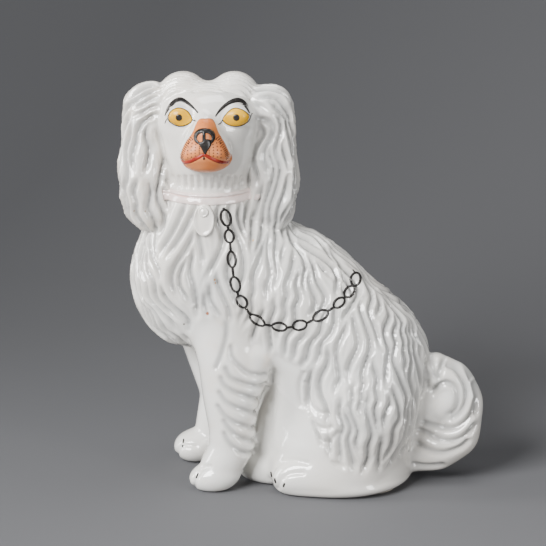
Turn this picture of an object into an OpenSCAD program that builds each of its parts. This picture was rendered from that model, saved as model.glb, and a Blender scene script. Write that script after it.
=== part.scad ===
// Press-moulded earthenware spaniel, seated in profile with its head turned to the viewer.
// Row frame in millimetres: Z up, the display side faces -Y, the chest points to -X and the tail to +X.
// The origin is the centre of the flat underside of the base slab.

/* [Figure] */
// Height of the crown above the shelf
figure_h = 314; // [240:1:400]
// Thickness of the pressed clay wall
wall = 6; // [4:0.5:7]
// Turn of the head away from square to the display side, in degrees
head_turn = 6; // [0:1:10]

/* [Base] */
// Thickness of the slab that closes the underside
slab_t = 6; // [4:0.5:8]
// Radius of the firing vent in the slab
vent_r = 5; // [3:0.5:9]
// Distance of the vent from the middle of the slab, towards the tail
vent_x = 24; // [15:1:40]

/* [Collar and locket] */
// Height of the collar band
collar_h = 9; // [7:0.5:12]
// How far the collar stands out from the neck
collar_proud = 2; // [1:0.5:4]
// Tilt of the collar, front edge down, in degrees
collar_tilt = 3; // [0:1:12]
// Height of the oval locket
locket_h = 27; // [20:1:32]

/* [Enamel] */
// Thickness of the overglaze enamel
enamel_t = 0.5; // [0.3:0.1:0.8]
// Width of the painted chain line
chain_line = 1.4; // [1:0.1:2]
// Number of links in the painted chain
chain_links = 12; // [9:1:15]

/* [Hidden] */

nominal_h = 314;
k = figure_h / nominal_h;
facets = 22;
big = 400;

// Every mass is an ellipsoid [centre, radii]. A limb or muscle is a hull of two or more of them.
head_at = [-84, 0, 0];

chest = [[-98, -1, 157], [48, 43, 60]];
shoulder = [[-66, 0, 180], [42, 42, 35]];
ribs = [[-24, 2, 142], [50, 46, 51]];
rump = [[23, 0, 87], [60, 50, 63]];
belly = [[-30, 0, 62], [34, 42, 46]];
neck_low = [[-84, -2, 204], [42, 40, 24]];
neck_top = [[-83, -4, 240], [33, 34, 18]];

base_long = 70;
base_deep = 54;
base_shift = 5;

// Head masses, measured from the head's own axis, looking along -Y.
skull = [[0, -8, 276], [36, 39, 31]];
forehead = [[0, -20, 284], [33, 28, 23]];
crown = [[20, 0, 295], [19, 26, 19]];
cheeks = [[0, -14, 258], [34, 31, 27]];
jowl = [[0, -11, 244], [31, 30, 20]];
bridge = [[0, -41, 283], [9, 9, 8]];
snout = [[0, -46, 265], [17, 19, 15]];
lip = [[8.3, -52, 259.8], [11, 15.2, 10]];
chin = [[0, -47.5, 253.9], [16, 16.2, 8]];
nose = [[0, -63, 274.8], [6.5, 6, 6.5]];

haunch = [[34, -18, 62], [44, 40, 56]];
hock = [[20, -30, 26], [34, 24, 26]];
hind_toes = [[-22.1, -40, 13.3], [15, 14, 13]];
hind_heel = [[6, -35.9, 16], [20, 17, 17]];

module mass(m, inset = 0, grow = 0)
    translate(m[0]) scale([for (r = m[1]) max(r - inset + grow, 0.5)]) sphere(1, $fn = facets);

module joined(list, inset = 0, grow = 0)
    hull() for (m = list) mass(m, inset, grow);

function flip(m, axis) = [[for (i = [0:2]) i == axis ? -m[0][i] : m[0][i]], m[1]];

module both(list, axis, inset = 0) {
    joined(list, inset);
    joined([for (m = list) flip(m, axis)], inset);
}

module on_head() translate(head_at) rotate([0, 0, head_turn]) children();

// The foot of the figure is an oval, longer from chest to tail than it is deep.
module base_outline(inset = 0)
    translate([base_shift, 0]) polygon([for (a = [0:6:354])
        [(base_long - inset) * cos(a), (base_deep - inset) * sin(a)]]);

module base_mass(inset = 0)
    hull() {
        linear_extrude(8) base_outline(inset);
        mass(belly, inset);
        mass([[15, 0, 74], [58, 50, 50]], inset);
    }

// The hollow part of the figure, as one form. An inset gives the cavity inside the clay wall.
module head_form(inset = 0)
    on_head() {
        joined([skull, forehead, cheeks], inset);
        both([crown], 0, inset);
        joined([cheeks, jowl], inset);
        joined([bridge, snout], inset);
        joined([snout, nose], inset);
        joined([lip, flip(lip, 0)], inset);
        joined([snout, chin], inset);
    }

module body_form(inset = 0) {
    joined([chest, shoulder, ribs], inset);
    joined([ribs, rump], inset);
    joined([neck_low, neck_top], inset);
    joined([neck_low, shoulder, chest], inset);
    base_mass(inset);
    both([haunch], 1, inset);
    both([haunch, hock], 1, inset);
    both([hind_toes, hind_heel], 1, inset);
    both([hind_heel, hock], 1, inset);
}

module figure_form(inset = 0) {
    head_form(inset);
    body_form(inset);
}

module above_shelf() translate([-big / 2, -big / 2, 0]) cube(big);

module display_side() translate([-big / 2, -big, -big / 2]) cube([big, big, big * 2]);

module shell()
    difference() {
        intersection() {
            figure_form();
            above_shelf();
        }
        figure_form(wall);
        translate([0, 0, -1]) linear_extrude(slab_t + 1) base_outline(wall);
    }

module front_shell() color("whitesmoke") intersection() { shell(); display_side(); }

module back_shell() color("whitesmoke") difference() { shell(); display_side(); }

module base_slab()
    color("antiquewhite") difference() {
        linear_extrude(slab_t) base_outline(wall);
        translate([vent_x, 0, -1]) cylinder(r = vent_r, h = slab_t + 2, $fn = 48);
    }

// Forelegs: side is -1 for the display side and 1 for the far side.
module foreleg(masses, extras)
    difference() {
        union() {
            for (i = [0:len(masses) - 2]) joined([masses[i], masses[i + 1]]);
            for (e = extras) joined(e);
        }
        body_form();
        translate([0, 0, -big / 2]) cube([big, big, big], center = true);
    }

near_leg = [
    [[-72, -24, 122], [24, 19, 18]],
    [[-66, -29, 98], [25, 19, 18]],
    [[-65, -30, 72], [22, 18, 22]],
    [[-64, -31, 46], [18, 16, 18]],
    [[-69, -32, 20], [17, 16, 16]],
];
near_toes = [[[-71, -33, 12], [18, 18, 13]], [[-81, -38, 10], [15, 16, 11]]];
near_elbow = [[[-51, -32, 102], [17, 15, 12]], [[-52, -30, 82], [14, 14, 16]]];
far_leg = [
    [[-97, 24, 122], [22, 18, 22]],
    [[-87, 27, 88], [20, 16, 22]],
    [[-80, 28, 56], [16, 14, 20]],
    [[-86, 28, 24], [16, 14, 18]],
];
far_toes = [[[-88, 28, 14], [16, 16, 14]], [[-101, 25, 11], [15, 16, 11]]];

module left_foreleg() color("whitesmoke") foreleg(near_leg, [near_toes, near_elbow]);

module right_foreleg() color("whitesmoke") foreleg(far_leg, [far_toes]);

// The tail curls up and back on itself against the rump.
tail = [
    [[64, 0, 22], [16, 15, 16]],
    [[88, 0, 24], [18, 16, 16]],
    [[106, 0, 38], [16, 16, 18]],
    [[110, 0, 62], [14, 15, 18]],
    [[102, 0, 80], [14, 14, 14]],
    [[86, 0, 86], [14, 14, 13]],
];
tail_curl = [[[88, 0, 54], [23, 10, 32]], [[76, 0, 46], [16, 12, 26]]];

module tail()
    color("whitesmoke") difference() {
        union() {
            for (i = [0:len(tail) - 2]) joined([tail[i], tail[i + 1]]);
            joined(tail_curl);
        }
        body_form();
        translate([0, 0, -big / 2]) cube([big, big, big], center = true);
    }

// Ears hang from the crown to the shoulders. The list is the dog's right ear, on the viewer's left.
ear = [
    [[28, -4, 289], [12, 18, 13]],
    [[45, -5, 287], [19, 17, 17]],
    [[49, -9, 262], [17, 14, 20]],
    [[47, -11, 236], [19.5, 13, 24]],
    [[45, -11, 214], [18, 12, 20]],
];

module ear_form() for (i = [0:len(ear) - 2]) joined([ear[i], ear[i + 1]]);

module ear_piece(side)
    color("whitesmoke") difference() {
        on_head() scale([side, 1, 1]) ear_form();
        figure_form();
    }

module right_ear() ear_piece(-1);

module left_ear() ear_piece(1);

// The collar is a band round the neck, as thick as it stands proud.
collar_at = [-82, 0, 227];

module collar_zone()
    translate(collar_at) rotate([collar_tilt, 0, 0]) cube([120, 120, collar_h], center = true);

module collar()
    color("whitesmoke") difference() {
        intersection() {
            body_form(-collar_proud);
            collar_zone();
        }
        figure_form();
        for (side = [-1, 1]) on_head() scale([side, 1, 1]) ear_form();
    }

// Oval locket sprigged under the collar, with a round boss near its top.
locket_at = [-82, -39, 210];
boss = [[-82.5, -44, 216], [4.5, 4, 4.5]];

module locket()
    color("whitesmoke") difference() {
        union() {
            joined([[locket_at, [8.5, 6, locket_h / 2]]]);
            joined([boss]);
        }
        figure_form();
        intersection() {
            body_form(-collar_proud);
            collar_zone();
        }
    }

// Overglaze enamel: a thin coat over the glazed form wherever its stencil falls.
// Stencils are drawn in the X and Z of the display side and thrown onto the form along Y.
module thrown(deep = 100) rotate([90, 0, 0]) linear_extrude(deep) children();

module face_coat(tone)
    color(tone) intersection() {
        difference() {
            head_form(-enamel_t);
            head_form();
        }
        on_head() thrown() children();
    }

eye = [20, 286.5];
iris = [9.5, 7.3];
pupil_r = 2.9;

module at_eyes() for (side = [-1, 1]) translate([side * eye[0], eye[1]]) scale([side, 1]) children();

module pupils() at_eyes() circle(pupil_r, $fn = 24);

module irises() at_eyes() scale(iris) circle(1, $fn = 32);

// A brow is the crescent between two circles round the eye.
module brows()
    at_eyes() intersection() {
        difference() {
            translate([0, -2]) circle(14.5, $fn = 48);
            translate([0.6, -4.2]) circle(14.6, $fn = 48);
        }
        translate([-16, 1]) square([32, 16]);
    }

module muzzle_patch()
    hull() {
        translate([0, 284]) circle(6, $fn = 24);
        for (side = [-1, 1]) translate([side * 14, 262]) circle(7, $fn = 24);
        translate([0, 256]) scale([15, 7]) circle(1, $fn = 24);
    }

module nose_patch() {
    difference() {
        translate([0, 276.5]) circle(7, $fn = 28);
        for (side = [-1, 1]) translate([side * 2.9, 275]) scale([1.5, 2.6]) circle(1, $fn = 16);
    }
    hull() {
        translate([0, 272]) circle(3, $fn = 16);
        translate([0, 267]) circle(1, $fn = 16);
    }
}

// The mouth is two strokes that fall away from the middle.
module stroke(points, line)
    for (i = [0:len(points) - 2])
        hull() for (p = [points[i], points[i + 1]]) translate(p) circle(line / 2, $fn = 8);

mouth = [[0, 266], [6, 262], [12, 259], [17, 257]];

module lips() for (side = [-1, 1]) scale([side, 1]) stroke(mouth, 2.4);

module iris_enamel() face_coat("goldenrod") difference() { irises(); pupils(); }

module pupil_enamel() face_coat("black") pupils();

module brow_enamel() face_coat("black") brows();

module muzzle_enamel() face_coat("sandybrown") difference() { muzzle_patch(); nose_patch(); lips(); }

module nose_enamel() face_coat("black") difference() { nose_patch(); lips(); }

module lip_enamel() face_coat("firebrick") lips();

// The painted chain swags from the collar to the back. Its route is the middle line of the links.
chain_route = [[-68, 221], [-65, 212], [-63, 197], [-61, 180], [-58, 161], [-53, 148], [-42, 135],
    [-25, 131], [-10, 134], [5, 141], [18, 150], [26, 159], [28, 165]];
link_long = 12;
link_wide = 7;

// A point at a distance along the route.
function run_to(i) = i == 0 ? 0 : run_to(i - 1) + norm(chain_route[i] - chain_route[i - 1]);
route_run = [for (i = [0:len(chain_route) - 1]) run_to(i)];
function along(d) =
    let (i = max([for (j = [0:len(route_run) - 2]) if (route_run[j] <= d) j]))
    let (f = (d - route_run[i]) / (route_run[i + 1] - route_run[i]))
    chain_route[i] + f * (chain_route[i + 1] - chain_route[i]);

chain_pitch = (max(route_run) - 4) / chain_links;

module chain_pattern() {
    for (n = [0:chain_links - 1]) {
        a = along(4 + n * chain_pitch);
        b = along(min(4 + n * chain_pitch + link_long, max(route_run) - 0.5));
        c = along(min(4 + (n + 1) * chain_pitch, max(route_run) - 0.5));
        translate((a + b) / 2) rotate(atan2(b[1] - a[1], b[0] - a[0])) difference() {
            scale([norm(b - a) / 2 + chain_line / 2, link_wide / 2]) circle(1, $fn = 14);
            scale([norm(b - a) / 2 - chain_line, link_wide / 2 - chain_line]) circle(1, $fn = 14);
        }
        stroke([b, c], chain_line);
    }
    stroke([chain_route[0], along(4)], chain_line);
}

module chain_enamel()
    color("black") intersection() {
        difference() {
            body_form(-enamel_t);
            body_form();
        }
        thrown() chain_pattern();
    }

// Short strokes mark the claws of the two forepaws and of the near hind paw.
hind_claws = [[-31, 16], [-28, 11], [-21, 8]];
fore_claws = [[-90, 7], [-84, 6]];

module claw_marks(places) for (p = places) translate(p) scale([0.8, 2.8]) circle(1, $fn = 16);

module claw_enamel()
    color("black") {
        intersection() {
            difference() {
                body_form(-enamel_t);
                body_form();
            }
            thrown() claw_marks(hind_claws);
        }
        intersection() {
            difference() {
                joined(near_toes, 0, enamel_t);
                joined(near_toes);
            }
            thrown() claw_marks(fore_claws);
        }
    }

scale(k) front_shell();
scale(k) back_shell();
scale(k) base_slab();
scale(k) left_foreleg();
scale(k) right_foreleg();
scale(k) tail();
scale(k) left_ear();
scale(k) right_ear();
scale(k) collar();
scale(k) locket();
scale(k) iris_enamel();
scale(k) pupil_enamel();
scale(k) brow_enamel();
scale(k) muzzle_enamel();
scale(k) nose_enamel();
scale(k) lip_enamel();
scale(k) chain_enamel();
scale(k) claw_enamel();
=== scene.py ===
import math
import bmesh, bpy
import numpy as np
from mathutils import Matrix, Vector
from mathutils.bvhtree import BVHTree
from mathutils.kdtree import KDTree


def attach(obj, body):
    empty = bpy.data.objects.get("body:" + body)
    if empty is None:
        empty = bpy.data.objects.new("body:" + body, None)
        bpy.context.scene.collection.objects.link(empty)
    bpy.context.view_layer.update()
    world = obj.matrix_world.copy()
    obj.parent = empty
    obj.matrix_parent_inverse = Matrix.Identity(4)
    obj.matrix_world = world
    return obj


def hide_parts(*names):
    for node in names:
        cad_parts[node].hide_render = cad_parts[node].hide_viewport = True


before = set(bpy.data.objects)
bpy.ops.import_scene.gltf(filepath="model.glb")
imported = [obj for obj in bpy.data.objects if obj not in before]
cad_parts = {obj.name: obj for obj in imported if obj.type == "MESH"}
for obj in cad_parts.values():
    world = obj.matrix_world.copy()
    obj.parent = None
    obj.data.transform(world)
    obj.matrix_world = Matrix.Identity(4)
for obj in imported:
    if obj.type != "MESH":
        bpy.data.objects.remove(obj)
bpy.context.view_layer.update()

# The camera stands a little above the figure and slightly to the tail side of square,
# about one and a half metres off, with a long lens.
camera = bpy.data.objects.new("camera", bpy.data.cameras.new("camera"))
bpy.context.scene.collection.objects.link(camera)
camera.location = (0.1303, -1.582, 0.5982)
camera.rotation_euler = (Vector((-0.036, 0, 0.160)) - camera.location).to_track_quat("-Z", "Y").to_euler()
camera.data.lens, camera.data.sensor_width = 144.3, 36
camera.data.clip_start, camera.data.clip_end = 0.05, 30
bpy.context.scene.camera = camera

# ---------------------------------------------------------------- The pressed clay form
# White earthenware pressed into a two-part mould, with the forelegs, ears and tail moulded
# apart and luted on. Under the glaze the joints are wiped smooth, so the clay is first
# shaped as one form and then parted into its pieces. Sizes here are millimetres.
HEAD_AT, HEAD_TURN = (-84, 0), math.radians(6)


def on_head(x, y, z, side=1):
    """A place given from the head's own axis, looking along -Y, in the figure's frame."""
    c, s = math.cos(HEAD_TURN), math.sin(HEAD_TURN)
    x = x * side
    return HEAD_AT[0] + c * x - s * y, HEAD_AT[1] + s * x + c * y, z


def run(*masses, steps=4):
    """Ellipsoids (x, y, z, rx, ry, rz) from one mass to the next, as a rolled coil of clay."""
    masses = [np.array(m, float) for m in masses]
    rows = [a + (b - a) * i / steps for a, b in zip(masses, masses[1:]) for i in range(steps)]
    return rows + [masses[-1]]


def head_run(*masses, sides=(1,), steps=4):
    """The same, given from the head's axis, on one or both sides of the face."""
    return [row for side in sides
            for row in run(*[on_head(*m[:3], side) + tuple(m[3:]) for m in masses], steps=steps)]


def mirrored(rows):
    return [np.array([r[0], -r[1], *r[2:]]) for r in rows]


chest, shoulder, ribs = (-97, -1, 159, 44, 40, 55), (-66, 0, 180, 40, 40, 33), (-23, 2, 143, 49, 44, 50)
rump, belly = (24, 0, 89, 59, 48, 63), (-14, 0, 64, 30, 34, 44)
body = run(chest, shoulder) + run(chest, ribs) + run(shoulder, ribs, rump, steps=5)
body += run((-84, -2, 204, 40, 38, 23), (-83, -4, 240, 31, 32, 18))
body += run((-84, -2, 204, 40, 38, 23), chest)
foot = run((-2, -2, 7, 40, 50, 11), (24, -2, 7, 47, 53, 11)) + run(belly, (-29, 0, 18, 31, 31.5, 19), (-35, 0, 7, 29, 30, 12))
foot += run((26, 0, 74, 42, 44, 50), (13, -1, 36, 58.5, 50.5, 22), (12, -1, 12, 60, 53.5, 13), steps=5)
haunch = run((32, -18, 63, 43.5, 38, 54), (20, -30, 26, 33, 23, 25))
hind_paw = run((24, -34, 16, 24, 18, 16), (4, -38, 15, 20, 16, 15), (-17, -41, 13, 16, 14, 13))
near_leg = run((-76, -22, 140, 24, 16, 18), (-72, -25, 120, 23, 17, 16), (-66, -29, 98, 23, 17, 17), (-65, -30, 72, 20.5, 17, 20),
               (-64, -32, 46, 16.5, 15, 18), (-64.5, -33, 31, 16, 14, 13),
                (-71, -36, 19, 16, 13, 11))
near_leg += run((-71.5, -37, 13, 15, 12.5, 11), (-79, -39.5, 8.5, 16.5, 12, 10.5))
near_leg += run((-48, -30, 104, 14, 10, 8.5), (-52, -30, 82, 11, 13, 16))
far_leg = run((-97, 24, 122, 20, 17, 22), (-87, 27, 88, 19, 15, 22), (-80, 28, 56, 15, 13, 20),
              (-86, 28, 24, 14, 13, 18))
far_leg += run((-88, 28, 14, 15, 15, 14), (-101, 24, 11, 15.5, 16, 12))
tail = run((64, 0, 22, 15, 14, 15), (88, 0, 24, 17, 15, 15), (106, 0, 38, 15, 15, 17),
           (110, 0, 62, 13, 14, 17), (102, 0, 80, 13, 13, 13), (86, 0, 88, 13, 13, 12))
tail_core = run((86, 0, 56, 20, 7, 30), (76, 0, 44, 16, 10, 24)) + run((98, 0, 66, 8, 12.5, 13), (92, 0, 58, 9, 11.5, 9))
ear = [(28, -4, 290, 11, 17, 12), (44, -6, 287, 20, 16, 18), (49, -12, 262, 16, 13, 19),
       (46.5, -16, 236, 19, 12.5, 23), (44.5, -18, 215, 17.5, 11.5, 19)]
head = head_run((0, -8, 276, 35, 37, 29), (0, -19, 280, 34.5, 28, 26))
head += head_run((0, -8, 276, 34, 37, 29), (0, -14, 258, 32, 30, 26), (0, -11, 244, 29, 29, 19))
crown = head_run((19, -2, 294, 19, 27, 19), sides=(-1, 1), steps=1)
eyes = head_run((-19.4, -36.6, 287.5, 10.6, 9.4, 8.6), steps=1) + head_run((21.4, -36.6, 287.5, 11.2, 9.4, 8.6), steps=1)
muzzle = head_run((-0.8, -42, 283, 7, 10, 8), (-1.2, -45, 272, 12, 17, 10), (-1.2, -46, 262, 17, 18, 11), steps=6)
muzzle += head_run((7, -49, 263, 9.5, 14.5, 9.5), (-9.4, -49, 263, 9.5, 14.5, 9.5), steps=3)
muzzle += head_run((-0.8, -46, 255, 16.5, 15.5, 7), steps=1)
nose_tip = head_run((-1.3, -57, 277.5, 6.5, 7.5, 6.5), (-1.2, -58, 270, 4, 7, 5), steps=2)

# Each group is masses that melt into each other over a distance, in the order they are added.
GROUPS = [("body", 5, 0, body), ("foot", 4, 12, foot), ("haunch", 3, 5, haunch), ("haunch", 3, 5, mirrored(haunch)),
          ("paw", 3, 7, hind_paw), ("paw", 3, 7, mirrored(hind_paw)), ("near leg", 2.5, 9, near_leg),
          ("far leg", 2.5, 7, far_leg), ("tail", 3, 4, tail), ("tail", 4, 4, tail_core), ("head", 4, 4, head),
          ("crown", 2, 4, crown), ("head", 1, 3, eyes), ("muzzle", 4, 3, muzzle), ("muzzle", 1.5, 3, nose_tip),
          ("left ear", 2, 2.5, head_run(*ear)), ("right ear", 2, 2.5, head_run(*ear, sides=(-1,)))]


def soft_min(a, ga, b, gb, k):
    """Two distances and their slopes, joined with a fillet about k wide."""
    h = np.clip(0.5 + 0.5 * (b - a) / k, 0, 1)
    d = b + (a - b) * h - k * h * (1 - h)
    return d, gb + (ga - gb) * h[:, None]


def clay(p, which=None):
    """Signed distance from points to the clay form, and its slope. The nearest group goes into which."""
    total = slope = None
    for n, (_, k, join, rows) in enumerate(GROUPS):
        c = np.array(rows)
        q = (p[:, None, :] - c[None, :, :3]) / c[None, :, 3:]
        k0 = np.maximum(np.linalg.norm(q, axis=2), 1e-6)
        g = q / c[None, :, 3:]
        k1 = np.maximum(np.linalg.norm(g, axis=2), 1e-9)
        d = k0 * (k0 - 1) / k1
        low = d.min(1, keepdims=True)
        w = np.exp(-(d - low) / (k * 0.35))
        ws = w.sum(1, keepdims=True)
        near = low[:, 0] - k * 0.35 * np.log(ws[:, 0])
        grad = ((w / ws)[:, :, None] * (g / k1[:, :, None])).sum(1)
        if total is None:
            total, slope, nearest = near, grad, near.copy()
        else:
            total, slope = soft_min(total, slope, near, grad, join)
        if which is not None:
            which[near <= nearest] = n
            nearest = np.minimum(nearest, near)
    under = np.broadcast_to((0.0, 0.0, 1.0), p.shape)
    total, slope = soft_min(-total, -slope, p[:, 2] - 0.4, under, 1.4)
    return -total, -slope


def coords(mesh):
    flat = np.zeros(len(mesh.vertices) * 3)
    mesh.vertices.foreach_get("co", flat)
    return flat.reshape(-1, 3)


def move(mesh, points):
    mesh.vertices.foreach_set("co", points.astype(np.float32).ravel())
    mesh.update()


def settle(mesh, times=3):
    """Draws every point of a mesh onto the clay form."""
    p = coords(mesh) * 1000
    for _ in range(times):
        for a in range(0, len(p), 20000):
            part = p[a:a + 20000]
            d, g = clay(part)
            g2 = np.maximum((g * g).sum(1), 0.2)
            p[a:a + 20000] = part - g * np.clip(d / g2, -3, 3)[:, None]
    move(mesh, p / 1000)


def remeshed(obj, voxel):
    step = obj.modifiers.new("knead", "REMESH")
    step.mode, step.voxel_size, step.use_smooth_shade = "VOXEL", voxel / 1000, True
    bpy.context.view_layer.update()
    mesh = bpy.data.meshes.new_from_object(obj.evaluated_get(bpy.context.evaluated_depsgraph_get()))
    obj.modifiers.clear()
    obj.data = mesh
    return obj


lump = bmesh.new()
for _, k, join, rows in GROUPS:
    for r in rows:
        place = Matrix.Translation(Vector(r[:3]) / 1000) @ Matrix.Diagonal((*(r[3:] / 1000), 1))
        bmesh.ops.create_icosphere(lump, subdivisions=3, radius=1, matrix=place)
mesh = bpy.data.meshes.new("figure")
lump.to_mesh(mesh)
lump.free()
figure = bpy.data.objects.new("figure", mesh)
bpy.context.scene.collection.objects.link(figure)
GRAIN = 1.2


def smoothed(obj, times):
    step = obj.modifiers.new("sponge", "SMOOTH")
    step.factor, step.iterations = 0.5, times
    bpy.context.view_layer.update()
    obj.data = bpy.data.meshes.new_from_object(obj.evaluated_get(bpy.context.evaluated_depsgraph_get()))
    obj.modifiers.clear()


remeshed(figure, 2.6)
settle(figure.data)
smoothed(figure, 6)
remeshed(figure, GRAIN)
smoothed(figure, 4)
settle(figure.data, 2)
smoothed(figure, 2)

# ---------------------------------------------------------------- The modelled coat
# The mould was carved with long wavy locks that run down from the spine, arched locks on the
# crown and ears, and a swirl on the tail. Grooves between locks are narrow and the locks round.
point = coords(figure.data) * 1000
normal = np.zeros(len(point) * 3)
figure.data.vertex_normals.foreach_get("vector", normal)
normal = normal.reshape(-1, 3)
group = np.zeros(len(point), int)
for a in range(0, len(point), 20000):
    found = np.zeros(len(point[a:a + 20000]), int)
    clay(point[a:a + 20000], found)
    group[a:a + 20000] = found
part_name = np.array([g[0] for g in GROUPS])[group]
edges = np.zeros(len(figure.data.edges) * 2, np.int64)
figure.data.edges.foreach_get("vertices", edges)
edges = edges.reshape(-1, 2)
ends, others = np.concatenate((edges[:, 0], edges[:, 1])), np.concatenate((edges[:, 1], edges[:, 0]))
degree = np.bincount(ends, minlength=len(point))


def spread(values, times):
    """Evens out values over the surface, from each point to its neighbours."""
    values = np.array(values, float)
    for _ in range(times):
        if values.ndim == 1:
            values = 0.5 * values + 0.5 * np.bincount(ends, values[others], len(point)) / degree
        else:
            values = np.stack([0.5 * v + 0.5 * np.bincount(ends, v[others], len(point)) / degree
                               for v in values.T], 1)
    return values


def lattice(p, size, seed):
    """Smooth noise, about -1 to 1, with lumps of the given size."""
    q = p / size
    base = np.floor(q).astype(int)
    f = q - base
    f = f * f * (3 - 2 * f)
    table = np.random.default_rng(seed).uniform(-1, 1, (64, 64, 64))
    out = np.zeros(len(p))
    for corner in range(8):
        bits = np.array([corner & 1, corner >> 1 & 1, corner >> 2 & 1])
        w = np.prod(np.where(bits, f, 1 - f), 1)
        at = (base + bits) % 64
        out += w * table[at[:, 0], at[:, 1], at[:, 2]]
    return out * 1.7


# Which way the hair lies at places on the flank: X, Z and the angle, with -90 straight down.
LIE = [(-131, 203, -80), (-136, 185, -100), (-126, 174, -45), (-121, 157, -70), (-134, 160, -75),
       (-121, 142, -60), (-112, 131, -50), (-110, 192, -96), (-108, 158, -72), (-97, 178, -112),
       (-98, 155, -75), (-86, 162, -110), (-84, 146, -55), (-76, 190, -92), (-73, 157, -90), (-80, 128, -90),
       (-55, 198, -85), (-46, 188, -100), (-43, 171, -105), (-49, 152, -98), (-32, 166, -88), (-29, 180, -94),
       (-18, 192, -85), (-19, 165, -100), (-13, 184, -78), (-27, 146, -90), (-13, 151, -102), (-37, 120, -112),
       (-2, 178, -70), (15, 171, -72), (4, 191, -58), (28, 153, -112), (46, 157, -92), (63, 140, -125),
       (38, 123, -100), (24, 121, -95), (11, 129, -115), (-5, 117, -125), (-22, 117, -110), (57, 117, -112),
       (70, 110, -110), (49, 107, -74), (62, 93, -70), (23, 96, -100), (36, 89, -95), (46, 83, -102),
       (65, 83, -98), (59, 65, -120), (38, 69, -95), (23, 69, -78), (4, 62, -42), (-6, 82, -88), (8, 98, -95),
       (15, 48, -118), (38, 42, -80), (49, 49, -90), (63, 49, -115), (57, 28, -110), (67, 29, -115),
       (44, 25, -100)]


def flank_lie(p):
    g = np.array(LIE, float)
    a = np.radians(g[:, 2])
    d2 = (p[:, 0:1] - g[None, :, 0]) ** 2 + (p[:, 2:3] - g[None, :, 1]) ** 2
    w = np.exp(-d2 / (2 * 11.0 ** 2)) + 1e-9 / (1 + d2)
    w /= w.sum(1, keepdims=True)
    return np.stack((w @ np.cos(a), np.zeros(len(p)), w @ np.sin(a)), 1)


def swirl(p, centre, turn):
    """Hair that runs in arcs round a centre, seen from the display side."""
    r = p - np.array(centre)
    return np.stack((-r[:, 2] * turn, np.zeros(len(p)), r[:, 0] * turn), 1)


def unit(v):
    return v / np.maximum(np.linalg.norm(v, axis=-1, keepdims=True), 1e-9)


def from_head(p):
    """Places in the head's own axes."""
    c, s = math.cos(HEAD_TURN), math.sin(HEAD_TURN)
    x, y = p[:, 0] - HEAD_AT[0], p[:, 1] - HEAD_AT[1]
    return np.stack((c * x + s * y, -s * x + c * y, p[:, 2]), 1)


face = from_head(point)
lie = flank_lie(point)
for name, side in (("left ear", 1), ("right ear", -1)):
    here = part_name == name
    arch = unit(swirl(face, (36 * side, 0, 270), -side))
    fall = np.stack((0.12 * side * np.sin(face[:, 2] / 9), np.zeros(len(face)), np.full(len(face), -1.0)), 1)
    top = np.clip((face[:, 2] - 262) / 16, 0, 1)[:, None]
    lie[here] = (arch * top + fall * (1 - top))[here]
for side in (1, -1):
    here = (part_name == "crown") & (face[:, 0] * side > 0)
    lie[here] = unit(swirl(face, (17 * side, 0, 280), -side))[here]
here = part_name == "tail"
lie[here] = unit(swirl(point, (93, 0, 62), 1) - 0.25 * (point - (93, 0, 62)) * (1, 0, 1))[here]
here = (part_name == "near leg") | (part_name == "far leg")
lie[here] = np.array((0.75, 0, -0.65))

# Waves along the hair, which drift slowly from lock to lock.
wave = 2 * math.pi * (point[:, 2] - 0.35 * point[:, 0]) / 46 + 4.6 * lattice(point, 34, 5)
bend = 0.4 * np.sin(wave)
bend[np.isin(part_name, ("crown", "near leg", "far leg"))] = 0
bend = spread(bend, 6)
side_way = unit(np.cross(normal, lie))
lie = unit(spread(unit(lie + side_way * bend[:, None] - 0), 6))
lie = unit(lie - normal * (lie * normal).sum(1, keepdims=True))

# A grid of cells that gives the surface point nearest to a place.
CELL = GRAIN * 1.3
low_corner = point.min(0) - 4 * CELL
shape = np.ceil((point.max(0) - low_corner) / CELL).astype(int) + 4
near = np.full(shape, -1, np.int32)
at = ((point - low_corner) / CELL).astype(int)
near[at[:, 0], at[:, 1], at[:, 2]] = np.arange(len(point))
for axis in (0, 1, 2, 0, 1, 2):
    for way in (1, -1):
        moved = np.roll(near, way, axis)
        near = np.where(near < 0, moved, near)


def brushed(values, reach, step=None):
    """Draws values out along the hair, reach mm each way, as a comb drags clay."""
    step = step or GRAIN
    total, count = values.copy(), np.ones(len(point))
    for way in (1, -1):
        here = point.copy()
        index = np.arange(len(point))
        last = lie * way
        for n in range(int(reach / step)):
            d = lie[index]
            d = d * np.sign((d * last).sum(1))[:, None]
            last = d
            here = here + d * step
            c = ((here - low_corner) / CELL).astype(int)
            index = near[c[:, 0], c[:, 1], c[:, 2]]
            index = np.where(index < 0, 0, index)
            here -= normal[index] * ((here - point[index]) * normal[index]).sum(1)[:, None]
            w = 0.5 + 0.5 * math.cos(math.pi * (n + 1) * step / reach)
            total += values[index] * w
            count += w
    return total / count


EARS = ("left ear", "right ear")
AMOUNT = {"body": 1, "haunch": 1, "tail": 0, "left ear": 1, "right ear": 1, "crown": 0, "near leg": 0,
          "far leg": 0, "head": 0, "muzzle": 0, "foot": 0, "paw": 0}
amount = spread(np.array([AMOUNT[n] for n in part_name]), 10)


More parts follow.
